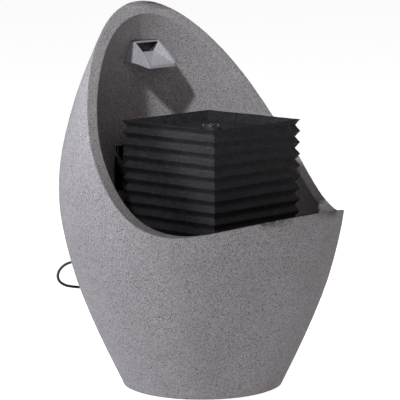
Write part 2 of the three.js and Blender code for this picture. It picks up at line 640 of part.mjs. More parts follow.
// ---------------------------------------------------------------- hoses
function bubblerHose() {
  return ring(HOSE_BORE, HOSE_R, TEE_Z + TEE_H + GAP, TAIL_END - GAP, 12, 0, COLUMN_Y);
}

function spoutHose() {
  const start = COLUMN_Y + TEE_R + GAP;
  const near = (z, inset) => skinY(SPOUT_X, z) - inset;
  const climb = [260, 282, 304, 324].map((z) => [SPOUT_X, hoseY(z), z]);
  const [high, low] = barbLine();
  const end = high.map((v, i) => v + (low[i] - v) * 0.35);
  const points = [[0, start, BRANCH_Z], [0, start + 14, BRANCH_Z], [2, start + 40, BRANCH_Z + 1],
    [6, near(94, 64.7), 94], [9, near(128, 52.7), 128], [11.5, near(168, 43.7), 168],
    [SPOUT_X, near(203, 33.5), 203], [SPOUT_X, near(226, 19.3), 226],
    [SPOUT_X, near(243, 8.4), 243], ...climb, low, end];
  return pipe(points, HOSE_R, HOSE_BORE, 9, 46);
}

// ---------------------------------------------------------------- lamp lead
function lampLead() {
  const y = COLUMN_Y;
  const end = PLUG_Z + 15 + GAP;
  const up = (part) => end + part * (DISH_FLOOR - end);
  return pipe([[LAMP_PLACE_R, y, DISH_FLOOR - 0.2], [LAMP_PLACE_R, y, up(0.89)],
    [9, y - 6, up(0.763)], [2, y - 14, up(0.585)], [-9, y - 13, up(0.388)],
    [-17, y - 5, up(0.21)], [LAMP_PLUG_X, y, up(0.092)], [LAMP_PLUG_X, y, end]],
    LAMP_LEAD_R, 0, 8, 36);
}

const lampPlug = () => rod(3.6, PLUG_Z + GAP, PLUG_Z + 15, 16, LAMP_PLUG_X, COLUMN_Y);

// ---------------------------------------------------------------- mains lead
function gland() {
  const [x, z] = CORD_EXIT;
  const bore = CORD_R + SMALL;
  return onSkin([[bore, -WALL - 3], [GLAND_R, -WALL - 3], [GLAND_R, -1 + GAP],
    [GLAND_FLANGE, -1 + GAP], [GLAND_FLANGE, -1 + GAP + GLAND_FLANGE_T], [3.6, 3.5],
    [2.6, GLAND_TAIL], [bore, GLAND_TAIL], [bore, -WALL - 3]], 16, x, z);
}

// Points on the gland's axis, at distances out from the surface.
function glandLine(distances) {
  const [x, z] = CORD_EXIT;
  const at = new THREE.Vector3(x, skinY(x, z), z);
  const rise = (radiusAt(z + 4) - radiusAt(z - 4)) / 8;
  const out = new THREE.Vector3(at.x, at.y, -rise * radiusAt(z)).normalize();
  return distances.map((d) => at.clone().addScaledVector(out, d).toArray());
}

// The lead in two lengths: from the pump into the gland, and from the gland to the coil.
const MEET = -6;
function pumpLead() {
  return pipe([...LEAD_INSIDE, ...glandLine([-WALL - 4, MEET - GAP])], CORD_R, 0,
    CORD_SIDES, 44);
}

function cord() {
  return pipe([...glandLine([MEET, 6, GLAND_TAIL - 4, GLAND_TAIL + 3]), ...CORD], CORD_R, 0,
    CORD_SIDES, 48);
}

function coil() {
  const [r0, r1] = [COIL_R - COIL_W / 2, COIL_R + COIL_W / 2];
  const z1 = GAP + COIL_H;
  const c = COIL_CHAMFER;
  return turned([[r0 + c, GAP], [r1 - c, GAP], [r1, GAP + c], [r1, z1 - c], [r1 - c, z1],
    [r0 + c, z1], [r0, z1 - c], [r0, GAP + c], [r0 + c, GAP]], 32, ...COIL_CENTRE);
}

const tailCord = () => pipe(TAIL_CORD, CORD_R, 0, CORD_SIDES, 4);

function plug() {
  const [x, y] = PLUG_AT;
  const half = PLUG[1] / 2;
  const low = GAP;
  const outline = [[x, low + 4.4], [x + PLUG[0] * 0.35, low], [x + PLUG[0] - 1.5, low],
    [x + PLUG[0], low + 1.5], [x + PLUG[0], low + PLUG[2] - 1.5],
    [x + PLUG[0] - 1.5, low + PLUG[2]], [x + PLUG[0] * 0.35, low + PLUG[2]],
    [x, low + PLUG[2] - 4.4]];
  const shape = new THREE.Shape(V2(outline));
  const geometry = new THREE.ExtrudeGeometry(shape, { depth: PLUG[1], bevelEnabled: false });
  return solid(geometry.rotateX(Math.PI / 2).translate(0, y + half, 0));
}

function blades() {
  const x = PLUG_AT[0] + PLUG[0] + GAP;
  const z = GAP + PLUG[2] / 2;
  [-1, 1].forEach((side, i) => {
    const at = PLUG_AT[1] + (side * BLADE_GAP) / 2;
    add(`plug_blade_${i + 1}`, box([x, x + BLADE[0]],
      [at - BLADE[1] / 2, at + BLADE[1] / 2], [z - BLADE[2] / 2, z + BLADE[2] / 2]), BRASS);
  });
}

// ---------------------------------------------------------------- assembly
add('shell', shell(), STONE);
pads();
add('spout', spout(), STONE_LIGHT);
add('back_cover', backCover(), STONE);
SCREW_PLACES.forEach(([dx, z], i) => add(`cover_screw_${i + 1}`, coverScrew(dx, z), STEEL));
add('column', column(), SLATE);
add('nozzle', nozzle(), BLACK);
add('nozzle_nut', nozzleNut(), BLACK);
add('lamp_ring', lampRing(), BLACK);
lamps();
add('lamp_lead', lampLead(), RUBBER);
add('lamp_plug', lampPlug(), BLACK);
add('pump_body', pumpBody(), BLACK);
cups();
add('pump_shaft', rodX(SHAFT_R, MOTOR_X + 2 + GAP, COVER_X + 1, 12, COLUMN_Y, AXIS_Z), WHITE);
add('pump_magnet', magnet(), GREY);
add('impeller', impeller(), WHITE);
add('pump_cover', pumpCover(), BLACK);
add('flow_slider', flowSlider(), GREY);
add('tee', tee(), BLACK);
add('bubbler_hose', bubblerHose(), VINYL);
add('spout_hose', spoutHose(), VINYL);
add('cord_gland', gland(), RUBBER);
add('pump_lead', pumpLead(), RUBBER);
add('cord', cord(), RUBBER);
add('cord_coil', coil(), RUBBER);
add('cord_tail', tailCord(), RUBBER);
add('plug', plug(), BLACK);
blades();

export default group;
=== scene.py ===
"""Tabletop water fountain: a cut stone egg, a ribbed slate column in its bowl, a spout above it.

Metres, +Z up, the open front faces -Y, the egg's axis is the Z axis. Sizes given in millimetres
are turned to metres by MM.
"""

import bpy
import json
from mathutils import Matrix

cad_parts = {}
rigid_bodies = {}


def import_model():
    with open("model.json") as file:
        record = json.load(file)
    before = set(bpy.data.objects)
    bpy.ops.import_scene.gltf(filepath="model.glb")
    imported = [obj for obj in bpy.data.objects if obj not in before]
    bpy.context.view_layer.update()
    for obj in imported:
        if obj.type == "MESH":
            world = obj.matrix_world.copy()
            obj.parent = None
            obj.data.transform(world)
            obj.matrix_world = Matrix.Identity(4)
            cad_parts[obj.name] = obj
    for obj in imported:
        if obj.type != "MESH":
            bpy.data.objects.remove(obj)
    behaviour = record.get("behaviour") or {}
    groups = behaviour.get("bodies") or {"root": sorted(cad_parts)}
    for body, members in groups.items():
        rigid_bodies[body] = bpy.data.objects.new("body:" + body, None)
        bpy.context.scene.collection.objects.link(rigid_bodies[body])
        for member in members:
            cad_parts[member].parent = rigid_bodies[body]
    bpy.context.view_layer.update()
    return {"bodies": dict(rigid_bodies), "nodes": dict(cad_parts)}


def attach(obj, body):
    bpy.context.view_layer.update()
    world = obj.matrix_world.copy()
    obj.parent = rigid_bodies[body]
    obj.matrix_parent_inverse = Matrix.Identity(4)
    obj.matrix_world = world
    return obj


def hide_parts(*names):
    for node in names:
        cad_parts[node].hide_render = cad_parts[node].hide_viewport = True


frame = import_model()

import json
import math
import bmesh
import bpy
import numpy as np
from mathutils import Matrix, Vector

MM = 0.001
NODES = frame["nodes"]


# ---------------------------------------------------------------- camera
def camera():
    """Camera at a place, looking along a direction, turned a little about that direction."""
    place = Vector((-1.93528, -1.82734, 0.60737))
    ahead = Vector((0.71835, 0.67943, -0.14950)).normalized()
    right = ahead.cross(Vector((0, 0, 1))).normalized()
    up = right.cross(ahead)
    roll = math.radians(-0.242)
    right, up = (right * math.cos(roll) + up * math.sin(roll),
                 up * math.cos(roll) - right * math.sin(roll))
    data = bpy.data.cameras.new("camera")
    data.lens, data.sensor_width = 220.5, 36
    data.clip_start, data.clip_end = 0.05, 60
    eye = bpy.data.objects.new("camera", data)
    turn = Matrix((right, up, -ahead)).transposed().to_4x4()
    eye.matrix_world = Matrix.Translation(place) @ turn
    bpy.context.collection.objects.link(eye)
    bpy.context.scene.camera = eye


camera()
bpy.context.scene.view_settings.view_transform = "Standard"


# ---------------------------------------------------------------- shapes
def smooth_line(points, step=2.0):
    """Catmull-Rom curve through the points (centripetal knots), about one sample each step mm."""
    p = np.asarray(points, float)
    ends = np.vstack([2 * p[0] - p[1], p, 2 * p[-1] - p[-2]])
    pieces = []
    for a, b, c, d in zip(ends, ends[1:], ends[2:], ends[3:]):
        k = np.cumsum([0, *[np.linalg.norm(v) ** 0.5 for v in (b - a, c - b, d - c)]])
        n = max(2, int(np.linalg.norm(c - b) / step))
        t = np.linspace(k[1], k[2], n, endpoint=False)[:, None]
        mix = lambda u, v, s, e: ((e - t) * u + (t - s) * v) / (e - s)
        ab, bc, cd = mix(a, b, k[0], k[1]), mix(b, c, k[1], k[2]), mix(c, d, k[2], k[3])
        pieces.append(mix(mix(ab, bc, k[0], k[2]), mix(bc, cd, k[1], k[3]), k[1], k[2]))
    return np.vstack([*pieces, p[-1:]])


def length_of(line):
    """Sum of the distances between neighbouring points."""
    return float(np.linalg.norm(np.diff(line, axis=0), axis=1).sum())


def strand(name, line, radius, material):
    """Round strand: one open run of points in mm, with a round bevel of the given radius in mm."""
    data = bpy.data.curves.new(name, "CURVE")
    data.dimensions = "3D"
    data.bevel_depth = radius * MM
    data.bevel_resolution = 3
    data.use_fill_caps = True
    run = data.splines.new("POLY")
    run.points.add(len(line) - 1)
    flat = np.hstack([np.asarray(line) * MM, np.ones((len(line), 1))])
    run.points.foreach_set("co", flat.astype(np.float32).ravel())
    run.use_smooth = True
    piece = bpy.data.objects.new(name, data)
    bpy.context.collection.objects.link(piece)
    data.materials.append(material)
    return piece


def skin(name, grid, material, wrap_u=False, wrap_v=False, cap=False, sharp=32):
    """Surface through a grid of points in mm, rows by columns, as quads between neighbours."""
    rows, cols = grid.shape[:2]
    index = np.arange(rows * cols).reshape(rows, cols)
    if wrap_u:
        index = np.vstack([index, index[:1]])
    if wrap_v:
        index = np.hstack([index, index[:, :1]])
    quads = np.stack([index[:-1, :-1], index[:-1, 1:], index[1:, 1:], index[1:, :-1]], -1)
    faces = quads.reshape(-1, 4).tolist()
    if cap:
        faces += [index[0, :cols].tolist()[::-1], index[-1, :cols].tolist()]
    mesh = bpy.data.meshes.new(name)
    mesh.from_pydata((grid.reshape(-1, 3) * MM).tolist(), [], faces)
    return placed(name, mesh, material, sharp)


def placed(name, mesh, material, sharp, turn=True):
    """Links the mesh as a piece: doubles merged, faces turned out, edges sharper than an angle kept."""
    work = bmesh.new()
    work.from_mesh(mesh)
    bmesh.ops.remove_doubles(work, verts=work.verts, dist=2e-6)
    if turn:
        bmesh.ops.dissolve_degenerate(work, edges=work.edges, dist=1e-7)
        bmesh.ops.recalc_face_normals(work, faces=work.faces)
    work.to_mesh(mesh)
    work.free()
    mesh.polygons.foreach_set("use_smooth", [True] * len(mesh.polygons))
    mesh.set_sharp_from_angle(angle=math.radians(sharp))
    mesh.materials.clear()
    mesh.materials.append(material)
    piece = bpy.data.objects.new(name, mesh)
    bpy.context.collection.objects.link(piece)
    return piece


def lathe(profile, sides, centre, axis=(0, 0, 1)):
    """Profile of [radius, height] carried round an axis through a point: a grid of mm points."""
    r, h = np.asarray(profile, float).T
    a = np.linspace(0, 2 * np.pi, sides, endpoint=False)
    z = np.asarray(axis, float) / np.linalg.norm(axis)
    x = np.cross([0, 1, 0] if abs(z[1]) < 0.9 else [1, 0, 0], z)
    x /= np.linalg.norm(x)
    y = np.cross(z, x)
    ring = np.cos(a)[:, None] * x + np.sin(a)[:, None] * y
    return np.asarray(centre, float) + r[:, None, None] * ring + h[:, None, None] * z


def grain(p, size, seed):
    """Smooth random height in -1..1: values on a lattice of the given size, eased between."""
    q = p / size + seed * 17.31
    cell = np.floor(q).astype(np.int64)
    f = q - cell
    f = f * f * (3 - 2 * f)
    total = np.zeros(p.shape[:-1])
    for corner in np.ndindex(2, 2, 2):
        c = cell + np.array(corner)
        h = (c[..., 0] * 73856093) ^ (c[..., 1] * 19349663) ^ (c[..., 2] * 83492791)
        h = ((h ^ (h >> 13)) * 1274126177) & 0xFFFF
        weight = np.prod(np.where(corner, f, 1 - f), axis=-1)
        total += weight * (h / 32767.5 - 1)
    return total


# ---------------------------------------------------------------- materials
def paint(code):
    """Linear colour of an sRGB hex code."""
    s = np.array([int(code[i:i + 2], 16) / 255 for i in (1, 3, 5)])
    return (*np.where(s <= 0.04045, s / 12.92, ((s + 0.055) / 1.055) ** 2.4), 1.0)


class Finish:
    """One procedural material, built node by node."""

    def __init__(self, name, roughness=0.5, metallic=0.0, **sockets):
        self.material = bpy.data.materials.new(name)
        self.material.use_nodes = True
        self.tree = self.material.node_tree
        self.shader = self.tree.nodes["Principled BSDF"]
        self.shader.inputs["Roughness"].default_value = roughness
        self.shader.inputs["Metallic"].default_value = metallic
        for socket, value in sockets.items():
            self.shader.inputs[socket.replace("_", " ")].default_value = value
        self.place = self.add("ShaderNodeTexCoord").outputs["Object"]

    def add(self, kind, settings=None, **links):
        """Adds a node; settings are its properties, links its inputs (a value or an output)."""
        node = self.tree.nodes.new(kind)
        for key, value in (settings or {}).items():
            setattr(node, key, value)
        for key, value in links.items():
            socket = node.inputs[int(key[1:])] if key[1:].isdigit() else node.inputs[key]
            if isinstance(value, bpy.types.NodeSocket):
                self.tree.links.new(value, socket)
            else:
                socket.default_value = value
        return node

    def noise(self, size, detail=2.0, rough=0.5):
        """Noise whose features are about size mm across."""
        return self.add("ShaderNodeTexNoise", Vector=self.place, Scale=1 / (size * MM),
                        Detail=detail, Roughness=rough).outputs["Fac"]

    def cells(self, size):
        """Distance to the nearest of scattered points about size mm apart."""
        return self.add("ShaderNodeTexVoronoi", Vector=self.place,
                        Scale=1 / (size * MM)).outputs["Distance"]

    def band(self, value, low, high, out_low=0.0, out_high=1.0):
        """Value mapped from low..high to out_low..out_high, held at the ends."""
        return self.add("ShaderNodeMapRange", {"interpolation_type": "SMOOTHSTEP"}, Value=value,
                        i1=low, i2=high, i3=out_low, i4=out_high).outputs["Result"]

    def blend(self, factor, a, b):
        """Colour a where factor is 0, b where it is 1."""
        node = self.add("ShaderNodeMix", {"data_type": "RGBA"}, i0=factor, i6=a, i7=b)
        return node.outputs[2]

    def sum(self, a, b, operation="ADD"):
        """Two values added, or joined by another operation."""
        return self.add("ShaderNodeMath", {"operation": operation}, i0=a, i1=b).outputs[0]

    def colour(self, value):
        """Gives the shader its colour."""
        self.tree.links.new(value, self.shader.inputs["Base Color"])

    def rough(self, value):
        """Gives the shader its roughness."""
        self.tree.links.new(value, self.shader.inputs["Roughness"])

    def bump(self, height, depth, strength=1.0, edge=0.0):
        """Height in 0..1 stands for depth mm; edge rounds the corners by that many mm."""
        node = self.add("ShaderNodeBump", Strength=strength, Distance=depth * MM, Height=height)
        if edge:
            round_off = self.add("ShaderNodeBevel", {"samples": 6}, Radius=edge * MM)
            self.tree.links.new(round_off.outputs["Normal"], node.inputs["Normal"])
        self.tree.links.new(node.outputs["Normal"], self.shader.inputs["Normal"])


def granite(name, pale, mid, dark, pits, edge, fleck):
    """Cast stone with fine grit: pale and mid grains, small dark pits and pale flecks."""
    f = Finish(name, roughness=0.86, Specular_IOR_Level=0.25)
    cloud = f.noise(46, 3, 0.55)              # slow patches a hand's width across
    sand = f.noise(1.5, 3, 0.62)              # sand that makes the surface look cast, not painted
    base = f.blend(f.band(sand, 0.36, 0.64), paint(mid), paint(pale))
    base = f.blend(f.band(cloud, 0.3, 0.7, 0.0, 0.28), base, paint(mid))
    hole = f.band(f.cells(1.75), 0.2, 0.36, 1.0, 0.0)       # dark grains between the pale ones
    some = f.band(f.noise(2.6, 2, 0.5), 0.5 - pits, 0.62 - pits)
    hole = f.sum(hole, some, "MULTIPLY")
    base = f.blend(hole, base, paint(dark))
    spark = f.band(f.cells(2.3), 0.1, 0.2, fleck, 0.0)      # pale mineral flecks
    base = f.blend(spark, base, paint("#d8d6d4"))
    f.colour(base)
    f.rough(f.band(sand, 0.3, 0.7, 0.78, 0.95))
    height = f.sum(f.sum(sand, 0.55, "MULTIPLY"), f.sum(hole, -0.45, "MULTIPLY"))
    f.bump(height, 0.5, 0.75, edge)
    return f.material


def slate(name):
    """Near-black cast slate: dusty grit on the faces, grey flecks, rough split texture."""
    f = Finish(name, roughness=0.72, Specular_IOR_Level=0.22)
    grit = f.noise(1.3, 4, 0.65)
    patch = f.noise(9, 3, 0.6)
    base = f.blend(f.band(grit, 0.35, 0.7), paint("#060508"), paint("#131217"))
    base = f.blend(f.band(patch, 0.42, 0.75, 0, 0.35), base, paint("#1b1a21"))
    fleck = f.sum(f.band(f.cells(1.5), 0.14, 0.3, 1.0, 0.0),
                  f.band(f.noise(3.4, 2, 0.5), 0.45, 0.6), "MULTIPLY")   # mineral dust
    f.colour(f.blend(fleck, base, paint("#403f49")))
    f.rough(f.band(patch, 0.3, 0.7, 0.6, 0.82))
    f.bump(f.sum(f.sum(grit, 0.7, "MULTIPLY"), f.sum(patch, 0.6, "MULTIPLY")), 0.8, 0.8, 0.5)
    return f.material


def moulded(name, code, low, high, size=0.9, depth=0.05):
    """Moulded plastic: even colour, a fine spark-eroded texture, roughness that drifts a little."""
    f = Finish(name, roughness=(low + high) / 2)
    skin_noise = f.noise(size, 2, 0.5)
    drift = f.noise(14, 2, 0.5)
    f.colour(f.blend(f.band(drift, 0.3, 0.7, 0, 0.22), paint(code), paint("#3b3c3e")))
    f.rough(f.band(drift, 0.3, 0.7, low, high))
    f.bump(skin_noise, depth, 0.6, 0.3)
    return f.material


def rubbery(name, code):
    """Soft PVC or rubber: dull black with a bloom of dust and very fine grain."""
    f = Finish(name, roughness=0.62, Specular_IOR_Level=0.4)
    bloom = f.noise(7, 3, 0.6)
    f.colour(f.blend(f.band(bloom, 0.4, 0.75, 0, 0.3), paint(code), paint("#37373a")))
    f.rough(f.band(bloom, 0.3, 0.7, 0.5, 0.72))
    f.bump(f.noise(0.5, 2, 0.5), 0.03, 0.5)
    return f.material


def metal(name, code, low, high):
    """Plated metal: a faint cast of the stamping in the roughness."""
    f = Finish(name, roughness=0.3, metallic=1.0)
    streak = f.noise(2.2, 3, 0.6)
    f.colour(f.blend(f.band(streak, 0.35, 0.7, 0, 0.4), paint(code), paint("#8d8a84")))
    f.rough(f.band(streak, 0.3, 0.7, low, high))
    f.bump(f.noise(0.35, 2, 0.5), 0.02, 0.4)
    return f.material


def ceramic(name):
    """Fine white ceramic of the shaft and wheel: near white, satin, with a trace of clay."""
    f = Finish(name, roughness=0.3, Coat_Weight=0.2)
    clay = f.noise(4, 2, 0.5)
    f.colour(f.blend(f.band(clay, 0.4, 0.7, 0, 0.3), paint("#e4e1da"), paint("#cfcbc0")))
    f.rough(f.band(clay, 0.3, 0.7, 0.24, 0.38))
    f.bump(clay, 0.03, 0.4)
    return f.material


def lens(name):
    """Clear moulded lamp dome: nearly all glass, with a faint grey cloud in it."""
    f = Finish(name, roughness=0.12, Transmission_Weight=0.95, IOR=1.49)
    milk = f.noise(1.4, 2, 0.5)
    f.colour(f.blend(f.band(milk, 0.3, 0.7, 0, 0.5), paint("#8f9598"), paint("#74797c")))
    f.rough(f.band(milk, 0.3, 0.7, 0.08, 0.2))
    f.bump(milk, 0.02, 0.3)
    return f.material


STONE = granite("granite_resin", "#7b787d", "#5c5a5d", "#1d1b1e", 0.05, 2.4, 0.30)
STONE_FINE = granite("spout_resin", "#7d7b82", "#6a686e", "#3b393d", -0.06, 1.2, 0.22)
SLATE = slate("slate_resin")
# black plastic parts, and also the black of the painted shade in the recesses
BLACK = moulded("black_plastic", "#161618", 0.32, 0.48)
GREY = moulded("grey_plastic", "#56595d", 0.35, 0.5)
RUBBER = rubbery("black_rubber", "#151516")
VINYL = moulded("black_vinyl", "#121314", 0.2, 0.34, 3.0, 0.03)
STEEL = metal("screw_steel", "#b9bbbe", 0.22, 0.4)
BRASS = metal("blade_brass", "#c9a862", 0.25, 0.42)
WHITE = ceramic("white_ceramic")
CLEAR = lens("clear_lens")


# ---------------------------------------------------------------- mains lead
LEAD_R = 1.6
GLAND_AT = [-26.0, 130.0]
EGG = [[89.5, 5], [115.5, 60], [139, 120], [153.4, 178], [157, 218], [153, 262],
       [137.7, 320], [114.6, 378], [88, 432]]
OUTLINE = smooth_line([[r, z, 0] for r, z in EGG], 3.0)[:, :2]


def radius_at(z):
    """Radius of the egg's outer surface at a height, in mm."""
    return np.interp(z, OUTLINE[:, 1], OUTLINE[:, 0])


def on_back(x, z):
    """Point of the outer surface at the back, and the direction out of it."""
    r = radius_at(z)
    y = math.sqrt(r * r - x * x)
    rise = (radius_at(z + 4) - radius_at(z - 4)) / 8
    out = np.array([x, y, -rise * r])
    return np.array([x, y, z]), out / np.linalg.norm(out)


GLAND, GLAND_OUT = on_back(*GLAND_AT)
FREE = [[-35.2, 173.6, 119.4], [-39.4, 179.2, 116.2], [-43.2, 183, 111],
        [-44.9, 184.9, 104.6], [-43.2, 184.7, 98], [-37.2, 182.3, 92.6], [-27, 179.2, 89.4],
        [-14.5, 176.6, 86.8], [-3.5, 175.2, 81.6], [6.2, 174.7, 72], [14.4, 174.6, 58.5],
        [22, 175, 43], [29, 175.5, 28], [37, 176, 15], [46.5, 176, 6.6], [55, 175.7, 3.0],
        [62, 174.9, 2.5], [70, 172.6, 2.5]]
COIL_CENTRE, COIL_R, COIL_MID = (78.0, 152.0), 19.0, 8.9
COIL_TURNS, BUNDLE_R, LANES = 10, 6.4, 12
TAIL = [[86, 176.3, 5.5], [94, 175.5, 5.6], [103, 173.7, 6.8], [111.7, 172, 7.8]]
PLUG_AT, PLUG_SQUARE = (112, 172, 7.8), 3.2     # where the lead enters it; 2 would be an ellipse


def coil_line():
    """Neat coil: each turn lies one lane further round a bundle that is a circle in section."""
    turn = np.linspace(0, COIL_TURNS, COIL_TURNS * 40 + 1)
    lane = np.radians(-90 - 360 * turn / LANES)
    around = np.pi / 2 - 2 * np.pi * turn
    r = COIL_R + BUNDLE_R * np.cos(lane)
    return np.stack([COIL_CENTRE[0] + r * np.cos(around), COIL_CENTRE[1] + r * np.sin(around),
                     COIL_MID + BUNDLE_R * np.sin(lane)], -1)


def lead_line():
    """Out of the gland, down the back, once along the floor, into the coil and out to the plug."""
    start = [GLAND + GLAND_OUT * d for d in (-6, 6, 18, 25)]
    coil = coil_line()
    way_in = smooth_line([*start, *FREE, coil[0], coil[2]], 2.5)[:-2]
    way_out = smooth_line([coil[-3], coil[-1], *TAIL], 2.5)[3:]
    return np.vstack([way_in, coil[1:], way_out])


lead = lead_line()
mains_lead = strand("mains_lead", lead, LEAD_R, RUBBER)


def plug_grid():
    """Flat two-blade plug along +X: rounded-square sections that swell from the lead to the face."""
    x = np.array([0, 0.4, 2, 5, 8.6, 9.4, 12, 12.6, 13.6,
                  15, 15.6, 16.6, 18, 18.6, 19.6, 24.4, 25.6, 26])
    half_w = np.array([2.6, 3.2, 3.6, 4.3, 6.4, 7.2, 8.6, 8.1, 8.1,
                       8.8, 8.3, 8.3, 9, 8.5, 8.9, 9, 8.6, 7.8])
    half_h = np.array([2.4, 3, 3.3, 3.9, 5.6, 6.2, 7.1, 6.6, 6.6,
                       7.3, 6.8, 6.8, 7.4, 7, 7.4, 7.5, 7.1, 6.4])
    a = np.linspace(0, 2 * np.pi, 48, endpoint=False)
    c, s = np.cos(a), np.sin(a)
    square = (np.abs(c) ** PLUG_SQUARE + np.abs(s) ** PLUG_SQUARE) ** (-1 / PLUG_SQUARE)
    y = PLUG_AT[1] + half_w[:, None] * (c * square)
    z = PLUG_AT[2] + half_h[:, None] * (s * square)
    return np.stack([np.broadcast_to(PLUG_AT[0] + x[:, None], y.shape), y, z], -1)


plug = skin("plug_body", plug_grid(), RUBBER, wrap_v=True, cap=True, sharp=50)


def tie_grid():
    """Flat strap round the bundle: a rounded band section carried round a circle, 3.2 mm wide."""
    around = np.linspace(0, 2 * np.pi, 40, endpoint=False)
    band = np.array([[8.05, -1.6], [8.05, 1.6], [8.45, 1.6], [8.6, 1.3], [8.6, -1.3], [8.45, -1.6]])
    r = band[:, 0][:, None]
    x = COIL_CENTRE[0] - COIL_R + r * np.cos(around)
    z = COIL_MID + r * np.sin(around)
    y = np.broadcast_to(COIL_CENTRE[1] + band[:, 1][:, None], x.shape)
    return np.stack([x, y, z], -1)


tie = skin("lead_tie", tie_grid(), GREY, wrap_u=True, wrap_v=True, sharp=40)
blades = [NODES["plug_blade_1"], NODES["plug_blade_2"]]
for piece in (mains_lead, plug, tie):
    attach(piece, "base")
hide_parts("cord", "cord_coil", "cord_tail")
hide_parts("plug")
round(length_of(lead) * MM, 2)


# ---------------------------------------------------------------- pieces kept from the CAD shapes
BODY = {n: next(b for b, e in frame["bodies"].items() if e is o.parent) for n, o in NODES.items()}


def finished(name, nodes, material, sharp=30, keep=None):
    """Welded, smooth-shaded copy of each CAD node, its edges kept where the real one has edges."""
    for node in nodes:
        mesh = NODES[node].data.copy()
        mesh.name = name if len(nodes) == 1 else f"{name}_{node.rsplit('_', 1)[-1]}"
        if keep:
            work = bmesh.new()
            work.from_mesh(mesh)
            gone = [f for f in work.faces if not keep(f.calc_center_median() / MM)]
            bmesh.ops.delete(work, geom=gone, context="FACES")
            work.to_mesh(mesh)
            work.free()
        piece = placed(mesh.name, mesh, material, sharp, turn=False)
        even = piece.modifiers.new("even_shading", "WEIGHTED_NORMAL")   # slivers don't tilt it
        even.mode, even.weight, even.keep_sharp = "FACE_AREA", 90, True
        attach(piece, BODY[node])
        if not keep:
            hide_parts(node)


def paint_recess_shade(name, test):
    """Painted shade: black on the faces of a piece whose middle, in mm, passes the test, for the shade
    deep in its recesses.
    """
    mesh = bpy.data.objects[name].data
    mesh.materials.append(BLACK)
    middle = np.empty(len(mesh.polygons) * 3)
    mesh.polygons.foreach_get("center", middle)
    way = np.empty(len(mesh.polygons) * 3)
    mesh.polygons.foreach_get("normal", way)
    inside = test(middle.reshape(-1, 3).T / MM, way.reshape(-1, 3).T)
    mesh.polygons.foreach_set("material_index", inside.astype(np.int32))


SPOUT_X, ROOT_Y = 12.0, 96.0            # middle of the spout, and where its root starts
THROAT_HALF, THROAT_Z, THROAT_END = 18.5, (361, 373.5), 125
DUCT_HALF, DUCT_MID, DUCT_TALL = 6.3, 226, 26.3        # way into the hose duct, a little over size
WALL_IN, WALL_OUT = 13.9, 2.0           # the recess lies between these depths below the skin


def in_duct(p, _):
    """Walls and back of the way into the hose duct."""
    out = np.hypot(p[0], p[1])
    return ((abs(p[0] - SPOUT_X) < DUCT_HALF) & (abs(p[2] - DUCT_MID) < DUCT_TALL) & (p[1] > 110)
            & (out > radius_at(p[2]) - WALL_IN) & (out < radius_at(p[2]) - WALL_OUT))


def faces_inwards(p, n):
    """Side of the cover that looks at the duct."""
    return p[0] * n[0] + p[1] * n[1] < -20


def in_throat(p, _):
    """Inside of the spout behind its channel."""
    return ((p[1] > ROOT_Y + 0.2) & (p[1] < THROAT_END) & (p[2] > THROAT_Z[0])
            & (p[2] < THROAT_Z[1]) & (abs(p[0] - SPOUT_X) < THROAT_HALF))


finished("stone_shell", ["shell"], STONE, 26)
# painted shade: black on the walls and back of the hose duct
paint_recess_shade("stone_shell", in_duct)
finished("stone_cover", ["back_cover"], STONE, 30)
# painted shade: black on the cover's side that faces the duct
paint_recess_shade("stone_cover", faces_inwards)
finished("stone_spout", ["spout"], STONE_FINE, 24)
# painted shade: black inside the spout's throat
paint_recess_shade("stone_spout", in_throat)
PLAIN = [                               # name, CAD nodes, material, sharpest smoothed angle
    ("cover_pan_screw", [f"cover_screw_{i}" for i in range(1, 5)], STEEL, 35),
    ("rubber_foot", [f"floor_pad_{i}" for i in range(1, 5)], RUBBER, 40),
    ("bubbler_nozzle", ["nozzle"], BLACK, 30),
    ("nozzle_hex_nut", ["nozzle_nut"], BLACK, 30),
    ("lamp_holder", ["lamp_ring"], BLACK, 30),
    ("lamp_dome", [f"lamp_{i}" for i in range(1, 5)], CLEAR, 50),
    ("lamp_wire", ["lamp_lead"], RUBBER, 60),
    ("lamp_connector", ["lamp_plug"], BLACK, 35),
    ("inner_lead", ["pump_lead"], RUBBER, 60),
    ("pump_housing", ["pump_body"], BLACK, 30),
    ("pump_cup", [f"suction_cup_{i}" for i in range(1, 5)], RUBBER, 40),
    ("pump_spindle", ["pump_shaft"], WHITE, 40),
    ("rotor_magnet", ["pump_magnet"], GREY, 40),
    ("pump_wheel", ["impeller"], WHITE, 30),
    ("intake_grille", ["pump_cover"], BLACK, 30),
    ("flow_tab", ["flow_slider"], GREY, 30),
    ("hose_tee", ["tee"], BLACK, 35),
    ("hose_to_bubbler", ["bubbler_hose"], VINYL, 50),
    ("hose_to_spout", ["spout_hose"], VINYL, 50),
]
for row in PLAIN:
    finished(*row)
for blade in blades:
    blade.data.materials.clear()
    blade.data.materials.append(BRASS)


# ---------------------------------------------------------------- ribbed column
CENTRE_Y = -14.4
TIP, RIB_DEPTH, RIB_PITCH, RIBS = 68.6, 4.0, 12.6, 16
RIM_Z, DISH_DEPTH, DISH_SLOPE, RIM_LAND = 294.7, 10.5, 9.0, 1.2
FOOT = 41.0
VALLEY = TIP - RIB_DEPTH
DISH_FLOOR = RIM_Z - DISH_DEPTH
COLUMN_BASE = RIM_Z - (RIBS - 0.5) * RIB_PITCH


